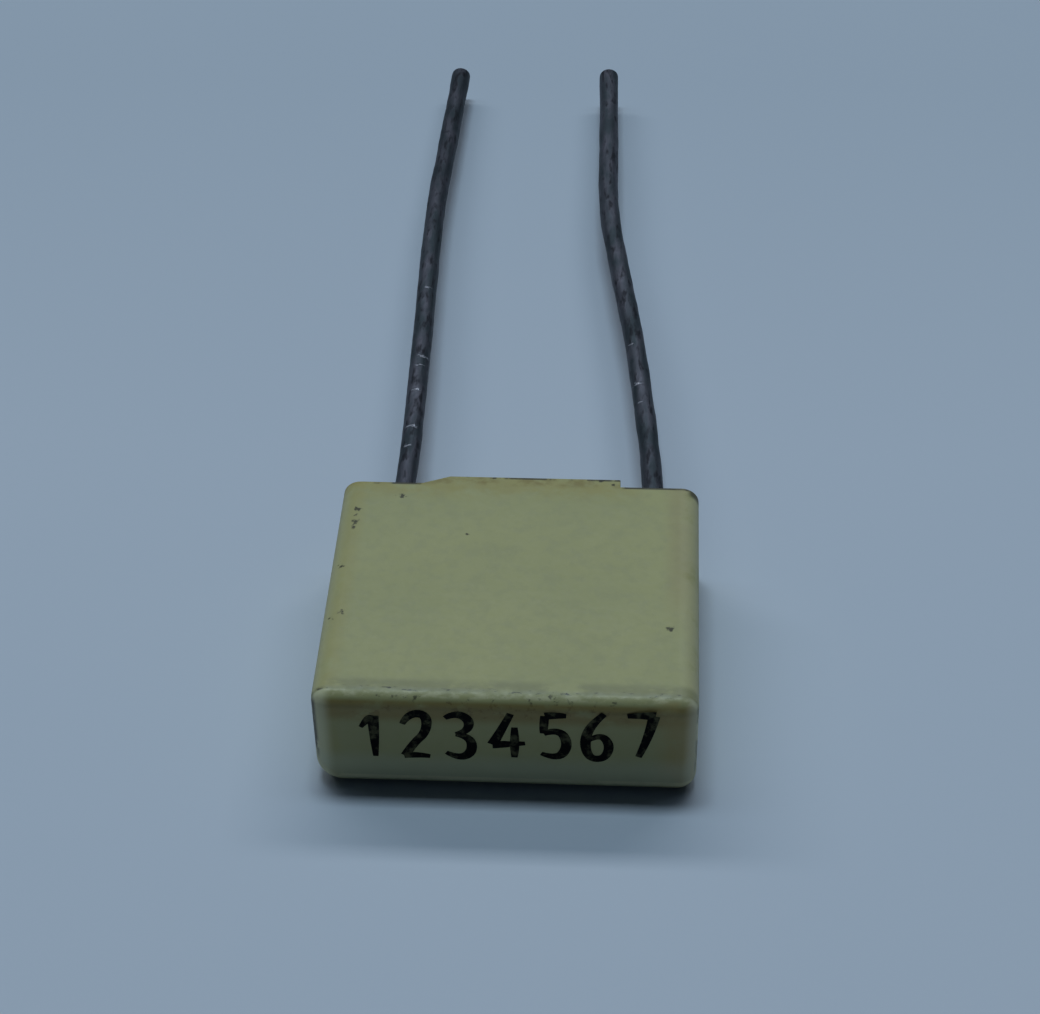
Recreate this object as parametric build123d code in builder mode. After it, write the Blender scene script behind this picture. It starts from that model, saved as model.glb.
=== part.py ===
"""Film capacitor in a moulded box, with two radial leads.

The case is a cup lying on one of its wide walls. X runs across the two leads, Y runs along them, from the
closed end to the open rim and on to the tips, and Z is up. The origin is on the surface that it lies on,
under the middle of the case.
All sizes are millimetres.
"""

import os
from math import pi, radians, tan

from build123d import *

os.makedirs("parts", exist_ok=True)

# Case. Its width follows the leads' pitch, as in every size of this kind of capacitor.
LEAD_PITCH = 7.5
LEAD_TO_SIDE = 1.25  # half of the width that the case has beyond the pitch, at the rim
BODY_DEPTH = 8.55  # closed end to rim
BODY_THICKNESS = 3.3
SIDE_DRAFT = 0.2  # degrees, on each narrow wall
WALL = 0.4
END_WALL = 0.5
LONG_EDGE_RADIUS = 0.5
CLOSED_END_RADIUS = 0.45
CAVITY_CORNER_RADIUS = 0.2

# Tongue on each wide wall, in the middle of the rim. Its left end slopes and its right end is square.
TONGUE_PROUD = 0.31
TONGUE_WIDTH = 5.54
TONGUE_OFFSET = 0.02  # its middle is this far right of the case's
TONGUE_SLOPE = 0.75  # width that the sloping end takes up

# Resin
RESIN_BELOW_RIM = 0.15  # where it wets the narrow walls
RESIN_DISH = 0.15  # deeper again at its middle
RESIN_OVER_ROLL = 0.95
RESIN_UNDER_ROLL = 0.15  # between the roll and the closed end
RESIN_BESIDE_ROLL = 0.14  # between the roll and each wide wall

# Roll of two films, wound about X and pressed flat, in fewer and thicker turns than the real hundreds
ROLL_OFFSET = 0.15  # the roll and its leads sit this far right of the case's middle
FILM_TURNS = 4
FREE_MARGIN = 0.4  # how far each film stops short of the other film's contact
COVER_STOP = 0.2  # how far the cover's end lies before the films' ends

# Leads and the contacts that they are welded to
LEAD_DIAMETER = 0.6
LEAD_TIP_FLAT = 0.1  # diameter left flat at a rounded tip
WELD_DEPTH = 6.0  # from the roll's top down to the lead's inner end
WELD_SINK = 0.05  # how deep the lead is set into its contact
CONTACT_THICKNESS = 0.5
CONTACT_EDGE_RADIUS = 0.1
BEND_SHARE = 0.3  # part of the shorter run that each bend takes up

# Leans of each lead: how far right of its place in the case, beyond the rim and below mid-thickness it has got
LEFT_LEANS = [(0, 0.35, 0), (0.15, 2.2, 0.06), (-0.25, 17.5, 0.47), (-0.06, 26.55, 0.73)]
RIGHT_LEANS = [(0, 0.35, 0), (-0.76, 8.9, 0.16), (-1.84, 16.7, 0.3), (-2.04, 26.15, 0.47)]

# Worked out from the above
half_width = LEAD_PITCH / 2 + LEAD_TO_SIDE
rim_y = BODY_DEPTH / 2
closed_y = -BODY_DEPTH / 2
mid_z = BODY_THICKNESS / 2
lead_x = LEAD_PITCH / 2
lead_section = pi * LEAD_DIAMETER**2 / 4
contact_outer_x = lead_x - LEAD_DIAMETER / 2 + WELD_SINK
roll_half_width = contact_outer_x - CONTACT_THICKNESS

wetting_y = rim_y - RESIN_BELOW_RIM
roll_foot_y = closed_y + END_WALL + RESIN_UNDER_ROLL
roll_top_y = wetting_y - RESIN_DISH - RESIN_OVER_ROLL
roll_length = roll_top_y - roll_foot_y
roll_centre_y = (roll_top_y + roll_foot_y) / 2
roll_half_height = mid_z - WALL - RESIN_BESIDE_ROLL

# The first turn is one film from the middle, the cover is two films thick, and a spiral adds one more
film_thickness = roll_half_height / (2 * FILM_TURNS + 4)
film_pitch = 2 * film_thickness
films_radius = film_thickness + film_pitch * FILM_TURNS
cover_thickness = film_pitch
roll_half_straight = roll_length / 2 - roll_half_height + film_pitch / 4

# A flattened spiral drops half its pitch in each half turn, so it starts above and beyond the roll's centre
roll_plane = Plane(
    origin=(ROLL_OFFSET, roll_centre_y + film_pitch / 4, mid_z + film_pitch / 2),
    x_dir=(0, 1, 0),
    z_dir=(1, 0, 0),
)


def half_width_at(y):
    """Half the case's width at y, which the draft narrows towards the closed end."""
    return half_width - (rim_y - y) * tan(radians(SIDE_DRAFT))


def cup_form(inset, near_y):
    """The cup's drafted block from near_y to the rim, drawn in by inset on its other walls."""
    near = half_width_at(near_y) - inset
    far = half_width_at(rim_y) - inset
    with BuildPart() as form:
        with BuildSketch(Plane.XY.offset(inset)):
            with BuildLine():
                Polyline((-near, near_y), (near, near_y), (far, rim_y), (-far, rim_y), close=True)
            make_face()
        extrude(amount=BODY_THICKNESS - 2 * inset)
    return form.part


def long_edges(part):
    """The four edges that run from the closed end to the rim."""
    return part.edges().filter_by(lambda edge: abs(edge.tangent_at(0.5).Y) > 0.9)


def flat_turns(first_radius, count, stop_short=0):
    """Draws flattened turns that grow by film_pitch a turn, from the foot of the right bend round to it again."""
    straight = roll_half_straight
    for turn in range(count):
        right = first_radius + film_pitch * turn
        left = right + film_pitch / 2
        foot = -right - film_pitch
        ThreePointArc((straight, -right), (straight + right, 0), (straight, right))
        Line((straight, right), (-straight, right))
        ThreePointArc((-straight, right), (-straight - left, -film_pitch / 2), (-straight, foot))
        end = straight - stop_short if turn == count - 1 else straight
        Line((-straight, foot), (end, foot))


def wound_strip(label, first_radius, thickness, turns, from_x, to_x, stop_short=0):
    """A strip wound for some turns, from from_x to to_x on the roll, which can stop short of its last bend."""
    start = roll_half_straight
    end = start - stop_short
    last_radius = first_radius + film_pitch * turns
    with BuildPart() as strip:
        with BuildSketch(roll_plane.offset(from_x)):
            with BuildLine():
                flat_turns(first_radius, turns, stop_short)
                flat_turns(first_radius + thickness, turns, stop_short)
                Line((start, -first_radius), (start, -first_radius - thickness))
                Line((end, -last_radius), (end, -last_radius - thickness))
            make_face()
        extrude(amount=to_x - from_x)
    strip.part.label = label
    return strip


def end_contact(label, side):
    """The metal sprayed on one end of the roll, side -1 or 1."""
    roll_end = (ROLL_OFFSET + side * roll_half_width, roll_centre_y, mid_z)
    with BuildPart() as contact:
        with BuildSketch(Plane(origin=roll_end, x_dir=(0, 1, 0), z_dir=(side, 0, 0))):
            SlotOverall(roll_length, 2 * roll_half_height)
        extrude(amount=CONTACT_THICKNESS)
        outer_face = contact.faces().sort_by(Axis((0, 0, 0), (side, 0, 0)))[-1]
        fillet(outer_face.edges(), CONTACT_EDGE_RADIUS)
    contact.part.label = label
    return contact


def bend_radii(points):
    """The largest gentle radius at each corner of a route, which leaves room for the bends beside it."""
    radii = []
    for before, corner, after in zip(points, points[1:], points[2:]):
        run_in = Vector(*corner) - Vector(*before)
        run_out = Vector(*after) - Vector(*corner)
        half_turn = radians(run_in.get_angle(run_out)) / 2
        radii.append(BEND_SHARE * min(run_in.length, run_out.length) / tan(half_turn))
    return radii


def lead(label, side, leans, contact):
    """One round wire, from its weld out to its tip, flattened where it is welded to its contact."""
    x = ROLL_OFFSET + side * lead_x
    route = [(x, roll_top_y - WELD_DEPTH, mid_z)]
    for right, beyond, below in leans:
        route.append((x + right, rim_y + beyond, mid_z - below))
    radii = bend_radii(route)
    with BuildPart() as wire:
        with BuildLine():
            path = FilletPolyline(*route, radius=radii)
        with BuildSketch(Plane(origin=path @ 0, z_dir=path % 0)):
            Circle(LEAD_DIAMETER / 2)
        sweep()
        swept_volume = wire.part.volume
        fillet(wire.faces().sort_by(Axis.Y)[-1].edges(), (LEAD_DIAMETER - LEAD_TIP_FLAT) / 2)
        add(contact.part, mode=Mode.SUBTRACT)
    wire.part.label = label
    print(f"{label}: {path.length:.2f} mm long, bend radii", [round(radius, 1) for radius in radii])
    print(f"{label}: volume over section times length {swept_volume / path.length / lead_section:.4f}")
    return wire


# The hollow of the cup, which the case leaves and the resin fills
with BuildPart() as cavity:
    add(cup_form(WALL, closed_y + END_WALL))
    fillet(long_edges(cavity), CAVITY_CORNER_RADIUS)

with BuildPart() as case:
    tongue_left = TONGUE_OFFSET - TONGUE_WIDTH / 2
    tongue_right = TONGUE_OFFSET + TONGUE_WIDTH / 2
    add(cup_form(0, closed_y))
    fillet(long_edges(case), LONG_EDGE_RADIUS)
    fillet(case.faces().sort_by(Axis.Y)[0].edges(), CLOSED_END_RADIUS)
    with BuildSketch(Plane.XY, Plane.XY.offset(BODY_THICKNESS - WALL)):
        with BuildLine():
            Polyline(
                (tongue_left, rim_y),
                (tongue_right, rim_y),
                (tongue_right, rim_y + TONGUE_PROUD),
                (tongue_left + TONGUE_SLOPE, rim_y + TONGUE_PROUD),
                close=True,
            )
        make_face()
    extrude(amount=WALL)
    add(cavity.part, mode=Mode.SUBTRACT)
case.part.label = "case"

# Each film reaches one contact and stops short of the other
short_end = roll_half_width - FREE_MARGIN
film_left = wound_strip("film_left", film_thickness, film_thickness, FILM_TURNS, -roll_half_width, short_end)
film_right = wound_strip("film_right", film_pitch, film_thickness, FILM_TURNS, -short_end, roll_half_width)
cover_film = wound_strip(
    "cover_film", films_radius, cover_thickness, 1, -roll_half_width, roll_half_width, COVER_STOP
)

end_contact_left = end_contact("end_contact_left", -1)
end_contact_right = end_contact("end_contact_right", 1)
lead_left = lead("lead_left", -1, LEFT_LEANS, end_contact_left)
lead_right = lead("lead_right", 1, RIGHT_LEANS, end_contact_right)

# The whole roll without its inner gaps, to shape the resin round it
with BuildPart() as roll_envelope:
    outer_radius = films_radius + cover_thickness
    cover_end = roll_half_straight - COVER_STOP
    with BuildSketch(roll_plane.offset(-roll_half_width)):
        with BuildLine():
            flat_turns(outer_radius, 1, COVER_STOP)
            Polyline(
                (cover_end, -outer_radius - film_pitch),
                (cover_end, -outer_radius),
                (roll_half_straight, -outer_radius),
            )
        make_face()
    extrude(amount=2 * roll_half_width)

with BuildPart() as potting_resin:
    add(cavity.part)
    inner_half_width = half_width - WALL
    with BuildSketch():
        with BuildLine():
            ThreePointArc(
                (-inner_half_width, wetting_y), (0, wetting_y - RESIN_DISH), (inner_half_width, wetting_y)
            )
            Polyline(
                (inner_half_width, wetting_y),
                (inner_half_width, rim_y),
                (-inner_half_width, rim_y),
                (-inner_half_width, wetting_y),
            )
        make_face()
    extrude(amount=BODY_THICKNESS, mode=Mode.SUBTRACT)
    for piece in (roll_envelope, end_contact_left, end_contact_right, lead_left, lead_right):
        add(piece.part, mode=Mode.SUBTRACT)
potting_resin.part.label = "potting_resin"

pieces = [
    case,
    potting_resin,
    film_left,
    film_right,
    cover_film,
    end_contact_left,
    end_contact_right,
    lead_left,
    lead_right,
]
for piece in pieces:
    export_step(piece.part, f"parts/{piece.part.label}.step")
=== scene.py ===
# %% [markdown]
# # A boxed film capacitor with two long leads
# The shape of the hard parts comes from CAD. This lesson dresses them: a worn cream case with inked figures,
# two dull tinned wires and the resin that holds them, on a pale table under soft lamps.
# Everything is in metres, in the CAD's own frame: X across the leads, Y along them and Z up.

# %% Load the fixed frame
from math import pi, radians

import bmesh
import bpy
from mathutils import Matrix, Vector


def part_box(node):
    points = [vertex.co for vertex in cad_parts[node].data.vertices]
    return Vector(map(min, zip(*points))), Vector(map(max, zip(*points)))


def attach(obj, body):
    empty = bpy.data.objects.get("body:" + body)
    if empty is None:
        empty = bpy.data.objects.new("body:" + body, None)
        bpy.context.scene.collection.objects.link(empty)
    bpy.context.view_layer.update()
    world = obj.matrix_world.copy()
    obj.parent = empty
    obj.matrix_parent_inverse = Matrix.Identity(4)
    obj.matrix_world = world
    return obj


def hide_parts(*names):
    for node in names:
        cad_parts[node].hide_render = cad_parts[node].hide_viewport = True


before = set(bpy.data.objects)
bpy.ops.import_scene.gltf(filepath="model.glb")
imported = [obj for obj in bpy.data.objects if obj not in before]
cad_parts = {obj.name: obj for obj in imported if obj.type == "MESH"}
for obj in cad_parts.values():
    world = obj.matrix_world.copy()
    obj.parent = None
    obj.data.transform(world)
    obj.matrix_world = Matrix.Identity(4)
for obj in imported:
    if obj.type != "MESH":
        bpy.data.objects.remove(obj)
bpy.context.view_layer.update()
MM = 0.001

# %% [markdown]
# ## Small helpers
# Colours are written as on a paint chart, in hex, and turned to the linear values that shaders use.
# Before any modelling step everything is deselected, because operators act on all that is selected. Faces and
# edges are then picked by where they are and which way they face.

# %% Colours
def linear(hex_colour):
    """A paint-chart colour such as d0c78e as linear RGB with alpha."""
    channels = [int(hex_colour[i : i + 2], 16) / 255 for i in (0, 2, 4)]
    return (*[c / 12.92 if c <= 0.04045 else ((c + 0.055) / 1.055) ** 2.4 for c in channels], 1.0)


# %% Selection
def deselect_all():
    """Leaves edit mode and deselects every object."""
    if bpy.context.object and bpy.context.object.mode != "OBJECT":
        bpy.ops.object.mode_set(mode="OBJECT")
    bpy.ops.object.select_all(action="DESELECT")


def edit(piece):
    """Makes piece the only one selected and opens it in edit mode with nothing selected."""
    deselect_all()
    bpy.context.view_layer.objects.active = piece
    piece.select_set(True)
    bpy.ops.object.mode_set(mode="EDIT")
    bpy.ops.mesh.select_all(action="DESELECT")


def pick(piece, kind, wanted):
    """In edit mode, selects the verts, edges or faces for which wanted is true, and says how many."""
    bpy.ops.mesh.select_mode(type={"verts": "VERT", "edges": "EDGE", "faces": "FACE"}[kind])
    bpy.ops.mesh.select_all(action="DESELECT")
    mesh = bmesh.from_edit_mesh(piece.data)
    found = [element for element in getattr(mesh, kind) if wanted(element)]
    for element in found:
        element.select_set(True)
    mesh.select_flush_mode()
    bmesh.update_edit_mesh(piece.data)
    return len(found)


def middle(element):
    """The middle of an edge or face, in millimetres."""
    return sum((v.co for v in element.verts), Vector()) / len(element.verts) / MM


def looks_out(face):
    """True for a face that looks out of the open end, along Y."""
    return face.normal.y > 0.9


def is_round_end(face):
    """True for the flat end of a wire or cone, which has many more corners than its other faces."""
    return len(face.verts) > 8


def settle(piece, name):
    """Ends the modelling of a piece: object mode, its place put into its mesh, and its name set."""
    deselect_all()
    bpy.context.view_layer.objects.active = piece
    piece.select_set(True)
    bpy.ops.object.transform_apply(location=True, rotation=True, scale=True)
    piece.name = piece.data.name = name


# %% Smooth lines with a thickness, for wires and ink
def start_curve(name, radius, roundness, steps):
    """A solid curve with this radius in millimetres, cut finely round (roundness) and along (steps)."""
    curve = bpy.data.curves.new(name, "CURVE")
    curve.dimensions = "3D"
    curve.bevel_depth = radius * MM
    curve.bevel_resolution = roundness
    curve.resolution_u = steps
    curve.use_fill_caps = True
    return curve


def draw(curve, points):
    """Draws one smooth line into the curve, from points with a place in millimetres and a share of the radius."""
    line = curve.splines.new("NURBS")
    line.points.add(len(points) - 1)
    for point, (*place, share) in zip(line.points, points):
        point.co = (*(v * MM for v in place), 1)
        point.radius = share
    line.order_u = 3
    line.use_endpoint_u = True


def make_mesh(curve):
    """Turns the curve into a mesh, alone selected, and gives its object."""
    piece = bpy.data.objects.new(curve.name, curve)
    bpy.context.scene.collection.objects.link(piece)
    deselect_all()
    bpy.context.view_layer.objects.active = piece
    piece.select_set(True)
    bpy.ops.object.convert(target="MESH")
    return bpy.context.object


# %% Nodes
# A Mix node for colours has its share in input 0, its two colours in inputs 6 and 7, and the result in output 2.
SHARE, UNDER, OVER, MIXED = 0, 6, 7, 2


def node(tree, kind, inputs=None, **settings):
    """Adds a node, sets what it is told, fills or links its inputs by name or number, and gives its outputs."""
    made = tree.nodes.new("ShaderNode" + kind)
    for name, value in settings.items():
        setattr(made, name, value)
    for key, value in (inputs or {}).items():
        if isinstance(value, bpy.types.NodeSocket):
            tree.links.new(value, made.inputs[key])
        else:
            made.inputs[key].default_value = value
    return made.outputs


# %% Materials
def start_material(name, **shader):
    """A new material, with its tree, its shader and the place on the piece in millimetres."""
    material = bpy.data.materials.new(name)
    material.use_nodes = True
    tree = material.node_tree
    skin = tree.nodes["Principled BSDF"]
    for key, value in shader.items():
        skin.inputs[key.replace("_", " ")].default_value = value
    place = node(tree, "TexCoord")["Object"]
    place_mm = node(tree, "VectorMath", {0: place, "Scale": 1 / MM}, operation="SCALE")[0]
    return material, tree, skin, place_mm


# %% [markdown]
# ## Camera, table and light
# The part is looked at from its closed end, from about 40 degrees up, close enough for a clear perspective.
# Lamps hang over the table: a small one almost overhead, which draws the leads' narrow shadows, with a long
# dim glow round it, and a long one behind the part, whose shadow is soft to the sides. With no lamp in
# front, the closed end is lit only by the table, which is a board in matt paint.

# %% Camera
SENSOR_WIDTH, FOCAL_LENGTH = 36.0, 81.1
CAMERA_ROLL = -1.133  # in degrees
camera_data = bpy.data.cameras.new("camera")
camera_data.sensor_width = SENSOR_WIDTH
camera_data.lens = FOCAL_LENGTH
camera_data.clip_start = 1 * MM
camera = bpy.data.objects.new("camera", camera_data)
bpy.context.scene.collection.objects.link(camera)
camera_place = Vector((3.279, -46.005, 45.335)) * MM
looks_at = Vector((-0.107, 5.401, 1.5)) * MM
camera_turn = (looks_at - camera_place).to_track_quat("-Z", "Y").to_matrix().to_4x4()
camera_roll = Matrix.Rotation(radians(CAMERA_ROLL), 4, "Z")
camera.matrix_world = Matrix.Translation(camera_place) @ camera_turn @ camera_roll
bpy.context.scene.camera = camera
print("camera stands off, mm:", round((looks_at - camera_place).length / MM, 1))

# %% Table
TABLE_WIDTH, TABLE_THICKNESS, TABLE_CORNER = 2.4, 0.03, 0.1  # in metres
deselect_all()
bpy.ops.mesh.primitive_plane_add(size=TABLE_WIDTH, location=(0, 0, 0))
table = bpy.context.object
bpy.ops.object.mode_set(mode="EDIT")
bpy.ops.mesh.bevel(offset=TABLE_CORNER, segments=8, affect="VERTICES")
bpy.ops.mesh.select_mode(type="FACE")
bpy.ops.mesh.select_all(action="SELECT")
bpy.ops.mesh.extrude_region_move(TRANSFORM_OT_translate={"value": (0, 0, -TABLE_THICKNESS)})
bpy.ops.mesh.select_all(action="SELECT")
bpy.ops.mesh.normals_make_consistent(inside=False)
settle(table, "table")
print("table:", len(table.data.polygons), "faces")

# %% Matt table paint: hardly any shine, drifting a little in tone, with painted shade that makes the far side greyer
table_paint, tree, skin, place_mm = start_material(
    "matt_table_paint", Roughness=0.8, IOR=1.45, Specular_IOR_Level=0.2
)
drift = node(tree, "TexNoise", {"Vector": place_mm, "Scale": 0.05, "Detail": 3.0})["Fac"]
paint = node(tree, "Mix", {SHARE: drift, UNDER: linear("cbd1d5"), OVER: linear("ced3d6")}, data_type="RGBA")[MIXED]
_, table_y, _ = node(tree, "SeparateXYZ", {0: place_mm})
# Painted shade: the far side of the table is darkened, as less of the lamps' light reaches it there.
painted_far_shade = node(tree, "MapRange", {"Value": table_y, "From Min": 10.0, "From Max": 32.0})[0]
paint = node(tree, "Mix", {SHARE: painted_far_shade, UNDER: paint, OVER: linear("c4cbcf")}, data_type="RGBA")[MIXED]
tree.links.new(paint, skin.inputs["Base Color"])
table.data.materials.append(table_paint)
print("finish made:", table_paint.name)

# %% Lamps: each one's lean, offset, size across and along, power and colour, in degrees, metres and watts
LAMP_DISTANCE = 1.2


def hang_lamp(name, behind_degrees, to_right, across, along, power, colour):
    """A soft lamp far from the part, leaning back by an angle, facing down to the part and set to one side."""
    data = bpy.data.lights.new(name, "AREA")
    data.shape = "RECTANGLE"
    data.size = across
    data.size_y = along
    data.energy = power
    data.color = linear(colour)[:3]
    lamp = bpy.data.objects.new(name, data)
    bpy.context.scene.collection.objects.link(lamp)
    direction = Matrix.Rotation(-radians(behind_degrees), 3, "X") @ Vector((0, 0, 1))
    lamp.location = direction * LAMP_DISTANCE + Vector((to_right, 0, 0))
    lamp.rotation_euler = direction.to_track_quat("Z", "Y").to_euler()


hang_lamp("lamp_overhead", 10.5, -0.05, 0.38, 0.18, 4.7, "cfe6fb")
hang_lamp("lamp_overhead_glow", 10.5, -0.15, 1.8, 0.18, 2.5, "cfe6fb")
hang_lamp("lamp_behind", 37.0, -0.24, 2.0, 0.155, 6.5, "e9f0fb")
print("lamps hung:", len(bpy.data.lights))

# %% Room light and tone
room = bpy.data.worlds.new("dim_room")
bpy.context.scene.world = room
room.use_nodes = True
room_light = room.node_tree.nodes["Background"]
room_light.inputs["Color"].default_value = linear("7598cc")
room_light.inputs["Strength"].default_value = 0.058
bpy.context.scene.view_settings.view_transform = "Standard"
bpy.context.scene.view_settings.gamma = 0.85
print("room light:", room.name)

# %% [markdown]
# ## The case
# On the real part this is a cup moulded in polyester, with rounded long edges, a rounded closed end and a
# tongue on each wide wall that stands off the circuit board. It could stay as the CAD solid, but moulded
# edges show every facet up close, so it is modelled again here at the CAD's sizes: a block, its edges
# bevelled, its open end inset and pushed in, and the tongues pulled out of the rim. Its lower left edge has
# been rubbed rounder than the others, so that edge is bevelled by itself.

# %% Case sizes, in millimetres
case_low, case_high = (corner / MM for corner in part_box("case"))
SKIN_GAP = 0.01  # the visible skin lies this far inside the CAD solid, which leaves room for ink
BODY_DEPTH = 8.55
WALL, END_WALL = 0.4, 0.5
LONG_EDGE_RADIUS, CLOSED_END_RADIUS, RIM_EDGE_RADIUS = 0.5, 0.45, 0.025
LOWER_LEFT_RADIUS = 0.72  # this one edge is rubbed rounder than the CAD keeps it
CLOSED_END_WIDTH = 9.94  # the mould's draft makes the closed end this much narrower
TONGUE_LEFT, TONGUE_RIGHT, TONGUE_SLOPE, TONGUE_PROUD = -2.75, 2.79, 0.75, 0.31
NEAR = 0.1  # what lies this near to a face counts as on it
closed_y = case_low.y
rim_y = closed_y + BODY_DEPTH
half_width = case_high.x

# %% A block with the case's outside shape
deselect_all()
outside = Vector((2 * half_width, BODY_DEPTH, case_high.z)) - Vector((2, 2, 2)) * SKIN_GAP
bpy.ops.mesh.primitive_cube_add(size=1, location=(0, (closed_y + rim_y) / 2 * MM, case_high.z / 2 * MM))
case = bpy.context.object
case.dimensions = outside * MM
print("block, mm:", [round(v, 2) for v in outside])
bpy.ops.object.transform_apply(location=True, rotation=True, scale=True)
edit(case)
pick(case, "verts", lambda v: v.co.y < 0)
bpy.ops.transform.resize(value=(CLOSED_END_WIDTH / (2 * half_width), 1, 1))


def is_long(edge):
    """True for an edge that runs from the closed end to the open one."""
    return abs(edge.verts[0].co.y - edge.verts[1].co.y) > BODY_DEPTH / 2 * MM


def is_lower_left(edge):
    """True for an edge on the table, left of the middle."""
    return middle(edge).z < NEAR and middle(edge).x < 0


pick(case, "edges", lambda e: is_long(e) and not is_lower_left(e))
bpy.ops.mesh.bevel(offset=LONG_EDGE_RADIUS * MM, segments=10, affect="EDGES")
pick(case, "edges", lambda e: is_long(e) and is_lower_left(e))
bpy.ops.mesh.bevel(offset=LOWER_LEFT_RADIUS * MM, segments=10, affect="EDGES")
pick(case, "edges", lambda e: all(v.co.y < (closed_y + NEAR) * MM for v in e.verts))
bpy.ops.mesh.bevel(offset=CLOSED_END_RADIUS * MM, segments=8, affect="EDGES")

# %% The open end
pick(case, "faces", looks_out)
bpy.ops.mesh.inset(thickness=WALL * MM, use_even_offset=True)
bpy.ops.mesh.extrude_region_move(TRANSFORM_OT_translate={"value": (0, -(BODY_DEPTH - END_WALL) * MM, 0)})
print("the cup is this deep, mm:", BODY_DEPTH - END_WALL)

# %% The two tongues
def on_rim(face):
    """True for a face of the rim, and not for the cup's floor."""
    return looks_out(face) and middle(face).y > rim_y - NEAR


def under_tongue(face):
    """True for a face of the rim that a tongue stands on."""
    return on_rim(face) and all(TONGUE_LEFT - NEAR < v.co.x / MM < TONGUE_RIGHT + NEAR for v in face.verts)


for cut_x in (TONGUE_LEFT, TONGUE_RIGHT):
    pick(case, "faces", on_rim)
    bpy.ops.mesh.bisect(plane_co=(cut_x * MM, 0, 0), plane_no=(1, 0, 0))
print("rim faces to pull out:", pick(case, "faces", under_tongue))
bpy.ops.mesh.extrude_region_move(TRANSFORM_OT_translate={"value": (0, TONGUE_PROUD * MM, 0)})
pick(case, "verts", lambda v: v.co.y > (rim_y + NEAR) * MM and v.co.x < 0)
bpy.ops.transform.translate(value=(TONGUE_SLOPE * MM, 0, 0))
settle(case, "case_skin")

# %% Soft edges on the rim and the tongues, and smooth shading
soften = case.modifiers.new("soften", "BEVEL")
soften.width = RIM_EDGE_RADIUS * MM
soften.segments = 3
soften.limit_method = "ANGLE"
soften.angle_limit = radians(30)
bpy.ops.object.modifier_apply(modifier="soften")
bpy.ops.object.shade_smooth_by_angle(angle=radians(25))
flatten = case.modifiers.new("flatten", "WEIGHTED_NORMAL")
flatten.keep_sharp = True
bpy.ops.object.modifier_apply(modifier="flatten")
print("case skin:", len(case.data.polygons), "faces")

# %% [markdown]
# ### Aged cream polyester
# The moulding is satin polyester, IOR about 1.55, once pale cream and now handled, stained and scuffed. It is
# painted as a restorer would describe it: first the plastic's own mottle, then each stain, scuff, smear of grime
# and darker corner as a row in a table, with its tint, how strong and patchy it is, and the edges that it lies
# between. Some rows are painted light instead: paler strips over the rounded long edges and down the closed
# end's corners, and a paler, bluer lower part and a pale line along the lower edge of the closed end, where the
# table's light falls.

# %% The plastic's own colour
polyester, tree, skin, place_mm = start_material("aged_cream_polyester", IOR=1.55)
x, y, z = node(tree, "SeparateXYZ", {0: place_mm})
mottle = node(tree, "TexNoise", {"Vector": place_mm, "Scale": 0.35, "Detail": 4.0})["Fac"]
grain = node(tree, "TexNoise", {"Vector": place_mm, "Scale": 6.0, "Detail": 4.0})["Fac"]
mottle = node(tree, "MapRange", {"Value": mottle, "From Min": 0.35, "From Max": 0.65})[0]
colour = node(tree, "Mix", {SHARE: mottle, UNDER: linear("b3af7a"), OVER: linear("aeab78")}, data_type="RGBA")[MIXED]

# %% Where a stain or painted light can lie: places along each axis, and how far out from the middle of the tongue
off_centre = node(tree, "Math", {0: x, 1: (TONGUE_LEFT + TONGUE_RIGHT) / 2}, operation="SUBTRACT")[0]
off_tongue = node(tree, "Math", {0: off_centre}, operation="ABSOLUTE")[0]
PLACES = {"x": x, "y": y, "z": z, "off_tongue": off_tongue}
TONGUE_REACH = (TONGUE_RIGHT - TONGUE_LEFT) / 2
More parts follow.
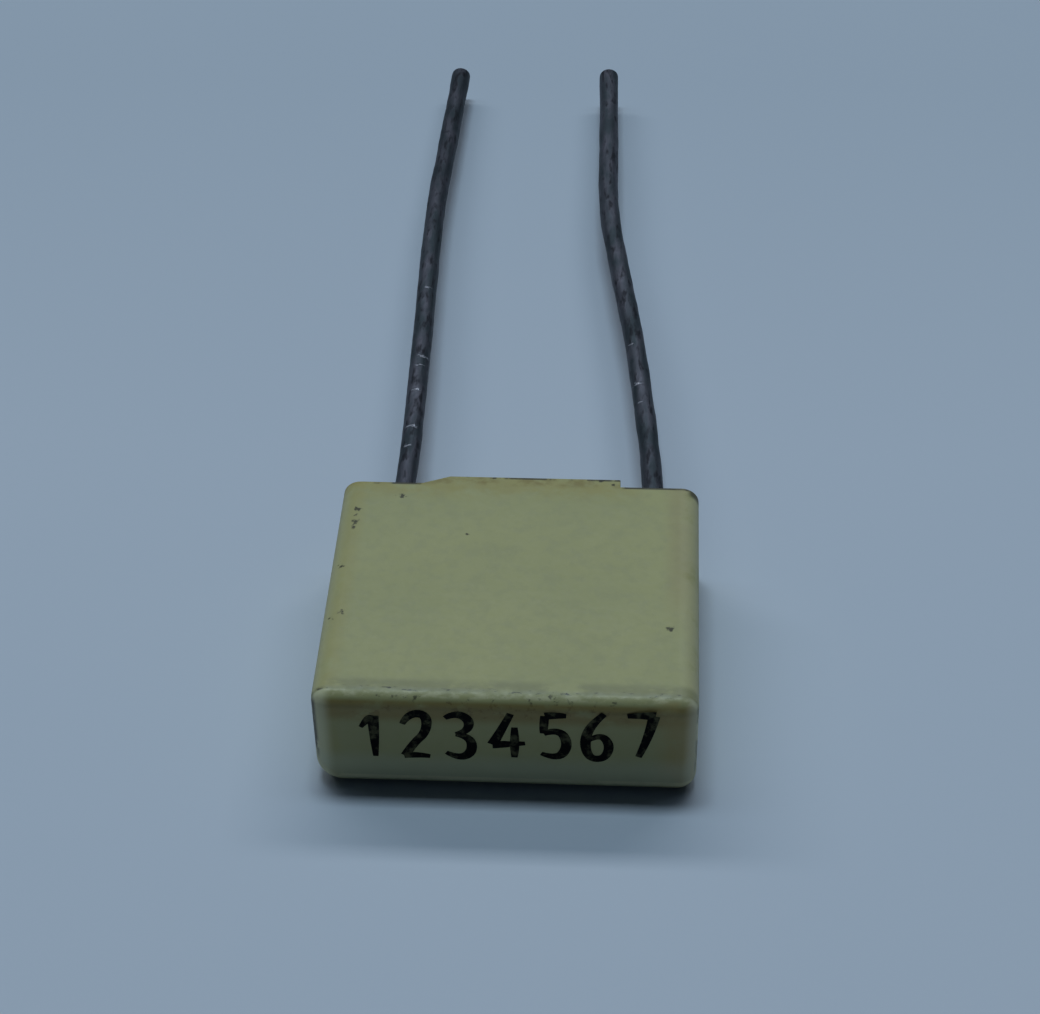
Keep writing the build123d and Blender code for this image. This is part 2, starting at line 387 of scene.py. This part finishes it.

# %% Stains and painted light: tint, strength, patches per millimetre along X, Y and Z, how patchy, and the edges it lies between
# Each edge is a place, where the mark starts and where it is at its full strength, in millimetres.
STAINS_AND_PAINTED_LIGHT = {
    "fine_mottle": ("a2a078", 0.35, (2.5, 2.5, 2.5), (0.42, 0.7), [("z", 3.0, 3.2)]),
    "yellowed_left_edge": ("ada263", 0.45, (1.2, 1.2, 1.2), (0.25, 0.5), [("x", -4.1, -4.5)]),
    # Painted light: the rounded left long edge made paler, against the shade it takes as it turns away.
    "painted_light_left_edge": ("d6d3ae", 0.34, (1.2, 1.2, 1.2), (0.2, 0.45), [("x", -4.55, -4.85), ("z", 2.4, 2.7)]),
    "yellowed_rim": ("ab9b55", 0.5, (1.2, 1.5, 1.2), (0.3, 0.6), [("y", 3.4, 4.1), ("x", 4.4, 2.0)]),
    "browned_right_side": (
        "a8986c", 0.4, (0.9, 0.5, 1.0), (0.3, 0.5),
        [("x", 3.9, 4.4), ("x", 4.9, 4.6), ("y", -2.0, 0.5), ("z", 2.4, 2.7)],
    ),
    # Painted light: the rounded right long edge made paler, against the shade it takes as it turns away.
    "painted_light_right_edge": ("d0c8a2", 0.5, (1.2, 1.2, 1.2), (0.25, 0.5), [("x", 4.35, 4.85)]),
    "stained_tongue": ("8d7a41", 0.6, (1.4, 2.0, 1.4), (0.42, 0.6), [("y", 4.1, 4.35)]),
    "grime_on_rim": (
        "37352a", 0.85, (1.0, 1.0, 0.5), (0.46, 0.54),
        [("y", 4.16, 4.2), ("z", 3.22, 3.27), ("off_tongue", TONGUE_REACH, TONGUE_REACH + 0.1)],
    ),
    "grime_on_tongue": ("403d2c", 0.85, (1.3, 1.0, 0.5), (0.44, 0.54), [("y", 4.47, 4.51), ("z", 3.22, 3.27)]),
    "grime_on_far_corner": (
        "45422f", 0.8, (2.0, 2.0, 2.0), (0.3, 0.5), [("x", 4.62, 4.8), ("y", 3.9, 4.1), ("z", 2.7, 3.0)],
    ),
    "grey_strip_by_near_edge": (
        "8f8d68", 0.6, (0.8, 1.5, 1.0), (0.35, 0.55), [("y", -3.45, -3.7), ("y", -4.0, -3.9), ("z", 2.9, 3.0)],
    ),
    "dirt_along_near_edge": (
        "2b2a20", 0.85, (3.2, 9.0, 3.0), (0.56, 0.68), [("y", -3.8, -3.88), ("y", -4.02, -3.93), ("z", 2.9, 3.0)],
    ),
    "pale_scuffs": (
        "dcd6ac", 0.5, (2.6, 6.0, 4.0), (0.42, 0.62), [("y", -3.92, -3.99), ("y", -4.15, -4.07), ("z", 2.6, 2.7)],
    ),
    "dirt_under_scuffs": (
        "2b2a20", 0.65, (5.0, 5.0, 5.0), (0.56, 0.64),
        [("y", -4.04, -4.1), ("z", 2.5, 2.75), ("x", 3.6, 2.6), ("x", -4.2, -3.4)],
    ),
    "browned_end_top": (
        "9c8547", 0.75, (1.0, 1.0, 1.6), (0.25, 0.5), [("y", -4.0, -4.08), ("z", 2.3, 2.7), ("z", 3.16, 3.06)],
    ),
    "browned_end_right": ("b39f66", 0.7, (1.2, 1.2, 1.2), (0.25, 0.5), [("y", -4.0, -4.15), ("x", 3.7, 4.4)]),
    # Painted light: paler strips down the closed end's left and right corners, where light from the sides falls on
    # them.
    "painted_light_end_left": ("e8e4bc", 0.7, (1.2, 1.2, 1.2), (0.2, 0.4), [("y", -3.9, -4.0), ("x", -4.35, -4.7)]),
    "painted_light_end_right": ("dcd6b4", 0.65, (1.2, 1.2, 1.2), (0.2, 0.4), [("y", -3.85, -3.95), ("x", 4.55, 4.85)]),
    # Painted light: the closed end's lower part paler and bluer, as the table's light falls on it.
    "painted_table_bounce_below": ("ccd2bb", 0.35, (0.8, 0.8, 0.8), (0.2, 0.4), [("y", -4.1, -4.2), ("z", 1.5, 0.8)]),
    # Painted highlight: a pale line along the closed end's lower rounding, which catches the table's light.
    "painted_highlight_lower_edge": (
        "e2dcb4", 0.6, (0.6, 1.0, 1.0), (0.35, 0.5), [("y", -4.0, -4.1), ("z", 0.5, 0.43), ("z", 0.28, 0.34)],
    ),
    "dark_left_corner": (
        "26251d", 0.9, (5.0, 5.0, 2.2), (0.36, 0.5),
        [("x", -4.78, -4.9), ("y", -3.78, -3.96), ("z", 3.1, 2.8), ("z", 0.7, 1.3)],
    ),
    "dark_right_corner": (
        "3a382a", 0.5, (4.0, 4.0, 1.6), (0.42, 0.56), [("x", 4.88, 4.94), ("y", -3.7, -3.9), ("z", 3.0, 2.85)],
    ),
}
for tint, strength, patches, (bare, full), edges in STAINS_AND_PAINTED_LIGHT.values():
    patchy = node(tree, "Mapping", {"Vector": place_mm, "Scale": patches})[0]
    patchy = node(tree, "TexNoise", {"Vector": patchy, "Scale": 1.0, "Detail": 5.0, "Roughness": 0.6})["Fac"]
    mask = node(
        tree, "MapRange", {"Value": patchy, "From Min": bare, "From Max": full, "To Max": strength},
        interpolation_type="SMOOTHSTEP",
    )[0]
    for place, start, whole in edges:
        reach = node(
            tree, "MapRange", {"Value": PLACES[place], "From Min": start, "From Max": whole},
            interpolation_type="SMOOTHSTEP",
        )[0]
        mask = node(tree, "Math", {0: mask, 1: reach}, operation="MULTIPLY")[0]
    colour = node(tree, "Mix", {SHARE: mask, UNDER: colour, OVER: linear(tint)}, data_type="RGBA")[MIXED]
print("stains painted:", len(STAINS_AND_PAINTED_LIGHT))

# %% Specks of dirt pressed into the top: place along X and Y, and size, in millimetres
SPECKS = [
    (-3.25, 3.7, 0.12), (-1.35, 2.1, 0.05), (4.2, -1.45, 0.09), (4.9, 3.2, 0.08), (-4.45, 3.05, 0.09),
    (-4.5, 2.8, 0.07), (-4.45, 2.55, 0.1), (-4.5, 2.3, 0.08), (-4.7, 0.75, 0.1), (-4.45, -1.15, 0.1),
    (-4.8, -1.3, 0.12), (2.6, 4.35, 0.06), (-0.75, 4.55, 0.09), (2.25, 4.55, 0.08), (-0.9, -3.85, 0.07),
    (1.2, -4.05, 0.1),
]
RAGGEDNESS = 4  # how far specks and nicks are out of round, as a share of their size
ragged = node(tree, "TexNoise", {"Vector": place_mm, "Scale": 9.0, "Detail": 2.0})["Fac"]
ragged = node(tree, "Math", {0: ragged, 1: 0.5}, operation="SUBTRACT")[0]
for speck_x, speck_y, size in SPECKS:
    away = node(tree, "VectorMath", {0: place_mm, 1: (speck_x, speck_y, case_high.z)}, operation="DISTANCE")["Value"]
    away = node(tree, "Math", {0: ragged, 1: size * RAGGEDNESS, 2: away}, operation="MULTIPLY_ADD")[0]
    mask = node(
        tree, "MapRange", {"Value": away, "From Min": size * 1.1, "From Max": size * 0.2, "To Max": 0.85},
        interpolation_type="SMOOTHSTEP",
    )[0]
    colour = node(tree, "Mix", {SHARE: mask, UNDER: colour, OVER: linear("35321f")}, data_type="RGBA")[MIXED]
tree.links.new(colour, skin.inputs["Base Color"])

# %% Satin sheen whose roughness varies a little with the grain, and a fine moulded grain about 0.15 mm across
GRAIN_DEPTH = 0.006  # in millimetres
WAVE_HEIGHT = 6.0  # the slow waves are this many times higher than the grain
sheen = node(tree, "MapRange", {"Value": grain, "From Min": 0.3, "From Max": 0.7, "To Min": 0.44, "To Max": 0.58})[0]
tree.links.new(sheen, skin.inputs["Roughness"])
waves = node(tree, "Math", {0: mottle, 1: WAVE_HEIGHT, 2: grain}, operation="MULTIPLY_ADD")[0]
relief = node(tree, "Bump", {"Height": waves, "Distance": GRAIN_DEPTH * MM, "Strength": 0.6})[0]
tree.links.new(relief, skin.inputs["Normal"])
case.data.materials.append(polyester)
print("finish made:", polyester.name)

# %% [markdown]
# ## The inked figures
# A stamp has put a row of figures on the closed end, fat where the ink ran and thin where it has worn.
# A font would be too even. Each stroke is a curve with its own thickness at each point, pressed flat.
# The figures are plain counting numbers, which say nothing about the part.

# %% Strokes of each figure: across and up in shares of the figure's size, and half the stroke's width in mm
FIGURES = {
    "1": [
        [(0.1, 0.72, 0.06), (0.45, 1.0, 0.14), (0.5, 0.9, 0.16)],
        [(0.55, 1.0, 0.15), (0.55, 0.5, 0.14), (0.55, 0.0, 0.07)],
    ],
    "2": [
        [
            (0.0, 0.8, 0.08), (0.25, 1.06, 0.13), (0.95, 1.04, 0.15), (0.9, 0.6, 0.13),
            (0.35, 0.3, 0.12), (0.05, 0.02, 0.13),
        ],
        [(0.0, 0.02, 0.11), (0.5, 0.05, 0.12), (1.0, 0.0, 0.07)],
    ],
    "3": [
        [(0.0, 0.95, 0.08), (0.45, 1.08, 0.13), (1.0, 0.9, 0.15), (0.85, 0.6, 0.11), (0.4, 0.55, 0.08)],
        [(0.4, 0.55, 0.08), (1.0, 0.5, 0.13), (1.05, 0.1, 0.15), (0.5, -0.06, 0.12), (0.0, 0.1, 0.07)],
    ],
    "4": [
        [(0.6, 1.05, 0.1), (0.3, 0.65, 0.12), (0.0, 0.3, 0.15)],
        [(0.0, 0.3, 0.15), (0.5, 0.3, 0.12), (1.05, 0.33, 0.07)],
        [(0.72, 0.72, 0.08), (0.72, 0.3, 0.16), (0.7, -0.02, 0.08)],
    ],
    "5": [
        [(0.15, 1.0, 0.13), (0.5, 1.02, 0.13), (0.95, 1.0, 0.08)],
        [(0.15, 1.0, 0.12), (0.1, 0.75, 0.13), (0.1, 0.58, 0.1)],
        [(0.1, 0.58, 0.1), (0.7, 0.7, 0.12), (1.05, 0.3, 0.15), (0.65, -0.08, 0.13), (0.0, 0.08, 0.07)],
    ],
    "6": [
        [
            (0.75, 1.05, 0.09), (0.25, 0.8, 0.13), (0.0, 0.35, 0.15), (0.2, -0.05, 0.12),
            (0.8, -0.05, 0.12), (1.0, 0.3, 0.14), (0.6, 0.58, 0.11), (0.15, 0.4, 0.07),
        ],
    ],
    "7": [
        [(0.0, 1.0, 0.08), (0.5, 1.03, 0.13), (0.95, 1.0, 0.16)],
        [(0.9, 1.0, 0.16), (0.75, 0.5, 0.13), (0.4, 0.0, 0.09)],
    ],
}

# %% The row, in millimetres: where each figure starts and how wide it is
ROW = [
    ("1", -3.75, 0.75), ("2", -2.6, 0.68), ("3", -1.5, 0.65), ("4", -0.3, 0.8),
    ("5", 0.95, 0.68), ("6", 2.05, 0.68), ("7", 3.15, 0.75),
]
ROW_START = ROW[0][1]
ROW_RISE = 0.034  # the stamp was held askew, so the row climbs by this much per millimetre
FIGURE_FOOT, FIGURE_HEIGHT = 1.15, 1.48
INK_HALF_THICKNESS = 0.008
FATTEST_STROKE = 0.16
print("figures in the row:", len(ROW))

# %% Lay the strokes on the closed end
ink_curve = start_curve("inked_figures", radius=1, roundness=3, steps=6)
for figure, left, width in ROW:
    for stroke in FIGURES[figure]:
        points = []
        for across, up, half in stroke:
            ink_x = left + across * width
            ink_z = FIGURE_FOOT + up * FIGURE_HEIGHT + (ink_x - ROW_START) * ROW_RISE
            points.append((ink_x, 0, ink_z, half))
        draw(ink_curve, points)
ink = make_mesh(ink_curve)
ink.scale.y = INK_HALF_THICKNESS / FATTEST_STROKE
ink.location.y = (closed_y + INK_HALF_THICKNESS) * MM
settle(ink, "inked_figures")
bpy.ops.object.shade_smooth_by_angle(angle=radians(60))
print("ink:", len(ink.data.polygons), "faces")

# %% [markdown]
# ### Worn marking ink
# Matt black ink, IOR about 1.5, thin enough in places for the plastic to grey it.

# %% Ink finish
marking_ink, tree, skin, place_mm = start_material(
    "worn_marking_ink", IOR=1.5, Roughness=0.8, Specular_IOR_Level=0.15
)
wear = node(tree, "TexNoise", {"Vector": place_mm, "Scale": 3.2, "Detail": 6.0, "Roughness": 0.65})["Fac"]
wear = node(tree, "MapRange", {"Value": wear, "From Min": 0.5, "From Max": 0.64, "To Max": 0.85})[0]
ink_colour = node(tree, "Mix", {SHARE: wear, UNDER: linear("050505"), OVER: linear("66664a")}, data_type="RGBA")[MIXED]
tree.links.new(ink_colour, skin.inputs["Base Color"])
ink.data.materials.append(marking_ink)
print("finish made:", marking_ink.name)

# %% [markdown]
# ## The leads
# Each lead is tinned copper wire, 0.6 mm across, bent a little by hand and lumpy with old tin, more so
# towards its tip. A smooth curve through the route's few points gives its line, a noise pushes its skin in
# and out by a few hundredths of a millimetre, and its cut tip is rounded off.

# %% The leads' routes, in millimetres: where each bend is, and how fat the tin makes the wire there
LEAD_RADIUS = 0.3
TIP_ROUNDING = 0.2
SAME_PLACE = 0.001  # corners nearer to each other than this are merged
ROUTES = {
    "lead_left": [
        (-3.6, -3.0, 1.65, 0.99), (-3.6, 4.6, 1.65, 0.99), (-3.45, 6.5, 1.59, 1.02), (-3.66, 14.5, 1.38, 1.05),
        (-3.88, 21.4, 1.19, 1.07), (-3.76, 25.5, 1.07, 1.1), (-3.66, 30.79, 0.92, 1.12),
    ],
    "lead_right": [
        (3.9, -3.0, 1.65, 0.99), (3.9, 4.8, 1.65, 0.99), (3.13, 13.2, 1.49, 1.05), (2.6, 17.0, 1.42, 1.07),
        (2.05, 21.1, 1.35, 1.12), (1.99, 25.0, 1.28, 1.1), (1.86, 30.42, 1.18, 1.12),
    ],
}

# %% Lumps of tin, for the wires' skin, in millimetres
LUMP_WIDTH, LUMP_HEIGHT = 1.1, 0.05
tin_lumps = bpy.data.textures.new("tin_lumps", "CLOUDS")
tin_lumps.noise_scale = LUMP_WIDTH * MM
tin_lumps.noise_depth = 2


def make_lead(name, route):
    """A round wire along the route, with a rounded tip and a lumpy skin."""
    curve = start_curve(name, LEAD_RADIUS, roundness=8, steps=40)
    draw(curve, route)
    wire = make_mesh(curve)
    edit(wire)
    bpy.ops.mesh.select_all(action="SELECT")
    bpy.ops.mesh.remove_doubles(threshold=SAME_PLACE * MM)
    bpy.ops.mesh.normals_make_consistent(inside=False)
    tip_y = route[-1][1]
    pick(wire, "faces", lambda f: is_round_end(f) and middle(f).y > tip_y - LEAD_RADIUS)
    bpy.ops.mesh.bevel(offset=TIP_ROUNDING * MM, segments=6, affect="EDGES")
    settle(wire, name + "_wire")
    lumpy = wire.modifiers.new("lumpy", "DISPLACE")
    lumpy.texture = tin_lumps
    lumpy.texture_coords = "LOCAL"
    lumpy.strength = LUMP_HEIGHT * MM
    lumpy.mid_level = 0.5
    bpy.ops.object.modifier_apply(modifier="lumpy")
    bpy.ops.object.shade_smooth_by_angle(angle=radians(40))
    print(name, "wire:", len(wire.data.polygons), "faces")
    return wire


wires = [make_lead(name, route) for name, route in ROUTES.items()]

# %% [markdown]
# ### Dull tinned wire
# Hot-dipped tin on copper goes grey and dark as it oxidises. It still reflects as a metal does, but
# broadly. Streaks follow the wire, dark pits cover it, and pliers have left nicks that show bright tin.
# They are dullest by the case and at the left tip.

# %% Grey tin with streaks and pits
tinned, tree, skin, place_mm = start_material("dull_tinned_wire", Metallic=0.7)
lead_x, lead_y, _ = node(tree, "SeparateXYZ", {0: place_mm})
along_wire = node(tree, "Mapping", {"Vector": place_mm, "Scale": (1.0, 0.25, 1.0)})[0]
streaks = node(tree, "TexNoise", {"Vector": along_wire, "Scale": 3.0, "Detail": 5.0})["Fac"]
pits = node(tree, "TexNoise", {"Vector": along_wire, "Scale": 6.0, "Detail": 3.0, "Roughness": 0.55})["Fac"]
streaks = node(tree, "MapRange", {"Value": streaks, "From Min": 0.38, "From Max": 0.62})[0]
colour = node(tree, "Mix", {SHARE: streaks, UNDER: linear("4e5659"), OVER: linear("706f75")}, data_type="RGBA")[MIXED]
left_lead = node(tree, "MapRange", {"Value": lead_x, "From Min": 0.0, "From Max": -1.0, "To Max": 0.28})[0]
near_tip = node(tree, "MapRange", {"Value": lead_y, "From Min": 18.5, "From Max": 22.0})[0]
near_case = node(tree, "MapRange", {"Value": lead_y, "From Min": 10.0, "From Max": 6.5, "To Max": 0.2})[0]
duller = node(tree, "Math", {0: left_lead, 1: near_tip, 2: near_case}, operation="MULTIPLY_ADD")[0]
colour = node(tree, "Mix", {SHARE: duller, UNDER: colour, OVER: linear("2a3036")}, data_type="RGBA")[MIXED]
dark_pits = node(tree, "MapRange", {"Value": pits, "From Min": 0.52, "From Max": 0.66, "To Max": 0.75})[0]
colour = node(tree, "Mix", {SHARE: dark_pits, UNDER: colour, OVER: linear("1f2226")}, data_type="RGBA")[MIXED]

# %% Nicks: place along X, Y and Z, and size, in millimetres
NICKS = [
    (-3.66, 16.1, 1.61, 0.1), (-3.52, 12.25, 1.72, 0.16), (-3.52, 11.8, 1.73, 0.13), (-3.54, 10.5, 1.76, 0.12),
    (-3.52, 8.65, 1.81, 0.17), (-3.6, 7.7, 1.84, 0.13), (2.97, 13.05, 1.77, 0.12), (3.2, 11.0, 1.81, 0.15),
    (3.28, 10.05, 1.83, 0.1),
]
squeezed = node(tree, "VectorMath", {0: place_mm, 1: (1, 2, 1)}, operation="MULTIPLY")[0]
ragged = node(tree, "TexNoise", {"Vector": squeezed, "Scale": 6.0, "Detail": 3.0})["Fac"]
ragged = node(tree, "Math", {0: ragged, 1: 0.5}, operation="SUBTRACT")[0]
nicks = 0.0
for nick_x, nick_y, nick_z, size in NICKS:
    away = node(tree, "VectorMath", {0: squeezed, 1: (nick_x, 2 * nick_y, nick_z)}, operation="DISTANCE")["Value"]
    away = node(tree, "Math", {0: ragged, 1: size * RAGGEDNESS, 2: away}, operation="MULTIPLY_ADD")[0]
    nick = node(tree, "MapRange", {"Value": away, "From Min": size, "From Max": size * 0.5, "To Max": 0.8})[0]
    nicks = node(tree, "Math", {0: nicks, 1: nick}, operation="MAXIMUM")[0]
colour = node(tree, "Mix", {SHARE: nicks, UNDER: colour, OVER: linear("cfcdd0")}, data_type="RGBA")[MIXED]
tree.links.new(colour, skin.inputs["Base Color"])
dullness = node(tree, "MapRange", {"Value": nicks, "To Min": 0.55, "To Max": 0.3})[0]
tree.links.new(dullness, skin.inputs["Roughness"])
height = node(tree, "Math", {0: pits, 1: nicks}, operation="SUBTRACT")[0]
relief = node(tree, "Bump", {"Height": height, "Distance": 0.03 * MM})[0]
tree.links.new(relief, skin.inputs["Normal"])
for wire in wires:
    wire.data.materials.append(tinned)
print("finish made:", tinned.name)

# %% [markdown]
# ## The resin's surface
# Epoxy is poured into the cup round the roll and left to set. It wets the walls and the leads, so it climbs
# them a little, and its middle sinks. The CAD solid keeps its plain dish below, and this skin lies over it:
# a block with a sunken top and a cone round each lead, melted into one by a fine remesh and a smoothing.

# %% A block with a sunken top
RESIN_TOP, RESIN_FOOT = rim_y - 0.12, rim_y - 0.7
IN_WALL = 0.15  # the block's rounded outer edge is hidden in the wall
DISH_STEPS = ((IN_WALL, 0.0), (0.12, 0.07), (0.2, 0.05), (0.4, 0.03))  # how far in and how far down
resin_half_width, resin_half_height = half_width - WALL + IN_WALL, case_high.z / 2 - WALL + IN_WALL
deselect_all()
bpy.ops.mesh.primitive_cube_add(size=1, location=(0, (RESIN_TOP + RESIN_FOOT) / 2 * MM, case_high.z / 2 * MM))
resin = bpy.context.object
resin.dimensions = Vector((2 * resin_half_width, RESIN_TOP - RESIN_FOOT, 2 * resin_half_height)) * MM
bpy.ops.object.transform_apply(location=True, rotation=True, scale=True)
edit(resin)
pick(resin, "faces", looks_out)
for step_in, step_down in DISH_STEPS:
    bpy.ops.mesh.inset(thickness=step_in * MM, use_even_offset=True)
    bpy.ops.transform.translate(value=(0, -step_down * MM, 0))
settle(resin, "resin_surface")

# %% A cone of resin round each lead, melted into the block
CONE_FOOT_RADIUS, CONE_TIP_RADIUS, CONE_HEIGHT, CONE_BELOW_RIM = 0.62, 0.34, 0.36, 0.25
CONE_END_INSET = 0.1
MELT_GRID = 0.05  # the remesh draws the resin anew in steps of this size
for route in ROUTES.values():
    cone_x = route[0][0]
    deselect_all()
    bpy.ops.mesh.primitive_cone_add(
        vertices=32, radius1=CONE_FOOT_RADIUS * MM, radius2=CONE_TIP_RADIUS * MM, depth=CONE_HEIGHT * MM,
        location=(cone_x * MM, (rim_y - CONE_BELOW_RIM) * MM, case_high.z / 2 * MM), rotation=(-pi / 2, 0, 0),
    )
    cone = bpy.context.object
    edit(cone)
    pick(cone, "faces", is_round_end)
    bpy.ops.mesh.inset(thickness=CONE_END_INSET * MM)
    deselect_all()
    cone.select_set(True)
    resin.select_set(True)
    bpy.context.view_layer.objects.active = resin
    bpy.ops.object.join()
melt = resin.modifiers.new("melt", "REMESH")
melt.mode = "VOXEL"
melt.voxel_size = MELT_GRID * MM
calm = resin.modifiers.new("calm", "SMOOTH")
calm.factor, calm.iterations = 0.5, 6
settle(resin, "resin_surface")
for modifier in ("melt", "calm"):
    bpy.ops.object.modifier_apply(modifier=modifier)
bpy.ops.object.shade_smooth()
print("resin surface:", len(resin.data.polygons), "faces")

# %% [markdown]
# ### Poured epoxy
# Amber epoxy, IOR about 1.5, set glossy as it flowed, with soft waves and the pits of burst bubbles.

# %% Resin finish
epoxy, tree, skin, place_mm = start_material("poured_epoxy", IOR=1.5)
cloudy = node(tree, "TexNoise", {"Vector": place_mm, "Scale": 0.7, "Detail": 3.0})["Fac"]
cloudy = node(tree, "MapRange", {"Value": cloudy, "From Min": 0.35, "From Max": 0.65})[0]
colour = node(tree, "Mix", {SHARE: cloudy, UNDER: linear("a88a4c"), OVER: linear("967a3e")}, data_type="RGBA")[MIXED]
bubbles = node(tree, "TexVoronoi", {"Vector": place_mm, "Scale": 1.4})["Distance"]
bubbles = node(
    tree, "MapRange", {"Value": bubbles, "From Min": 0.05, "From Max": 0.12}, interpolation_type="SMOOTHSTEP"
)[0]
colour = node(tree, "Mix", {SHARE: bubbles, UNDER: linear("6e5626"), OVER: colour}, data_type="RGBA")[MIXED]
tree.links.new(colour, skin.inputs["Base Color"])
gloss = node(tree, "MapRange", {"Value": cloudy, "To Min": 0.16, "To Max": 0.3})[0]
tree.links.new(gloss, skin.inputs["Roughness"])
pour = node(tree, "TexNoise", {"Vector": place_mm, "Scale": 1.1, "Detail": 1.0})["Fac"]
pour = node(tree, "Math", {0: pour, 1: 2.0, 2: bubbles}, operation="MULTIPLY_ADD")[0]
relief = node(tree, "Bump", {"Height": pour, "Distance": 0.03 * MM})[0]
tree.links.new(relief, skin.inputs["Normal"])
resin.data.materials.append(epoxy)
print("finish made:", epoxy.name)

# %% [markdown]
# ## What is inside
# The roll of films and the metal sprayed on its ends keep their CAD solids, and each gets its own finish:
# metallised film is polyester with a mirror of aluminium, the cover is the same film left clear, and the
# sprayed zinc is rough with frozen drops.

# %% A helper that dresses a CAD solid
def dress(solid, finish):
    """Gives a CAD solid this finish alone."""
    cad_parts[solid].data.materials.clear()
    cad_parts[solid].data.materials.append(finish)
    print(solid, "is finished as", finish.name)


# %% Finishes of the inner parts: two close colours, pattern per millimetre, metallic, roughness and relief
FINISHES = {
    "metallised_film": (("film_left", "film_right"), "c9cbce", "b4b8bd", (0.4, 6.0, 6.0), 0.85, 0.25, 0.004),
    "clear_cover_film": (("cover_film",), "d8cfa8", "c9bf94", (0.5, 3.0, 3.0), 0.0, 0.15, 0.004),
    "sprayed_zinc": (("end_contact_left", "end_contact_right"), "94969a", "6d6f73", (7.0, 7.0, 7.0), 0.9, 0.65, 0.05),
}
for name, (pieces, light, dark, pattern, metallic, roughness, height) in FINISHES.items():
    finish, tree, skin, place_mm = start_material(name, Metallic=metallic, Roughness=roughness)
    stretched = node(tree, "Mapping", {"Vector": place_mm, "Scale": pattern})[0]
    drops = node(tree, "TexNoise", {"Vector": stretched, "Scale": 1.0, "Detail": 4.0})["Fac"]
    drops_mask = node(tree, "MapRange", {"Value": drops, "From Min": 0.35, "From Max": 0.65})[0]
    colour = node(tree, "Mix", {SHARE: drops_mask, UNDER: linear(light), OVER: linear(dark)}, data_type="RGBA")[MIXED]
    tree.links.new(colour, skin.inputs["Base Color"])
    relief = node(tree, "Bump", {"Height": drops, "Distance": height * MM})[0]
    tree.links.new(relief, skin.inputs["Normal"])
    for piece in pieces:
        dress(piece, finish)
dress("potting_resin", epoxy)

# %% [markdown]
# ## Tie the pieces to the part
# Nothing moves, so every piece rides on the one body. The case skin and the wires stand for CAD solids. The
# ink and the resin's surface only lie on them.

# %% Ride and replace
new_pieces = (case, ink, resin, *wires)
for piece in new_pieces:
    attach(piece, "root")
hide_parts("case")
for wire, replaced in zip(wires, ROUTES):
    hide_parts(replaced)
print("new pieces:", len(new_pieces))
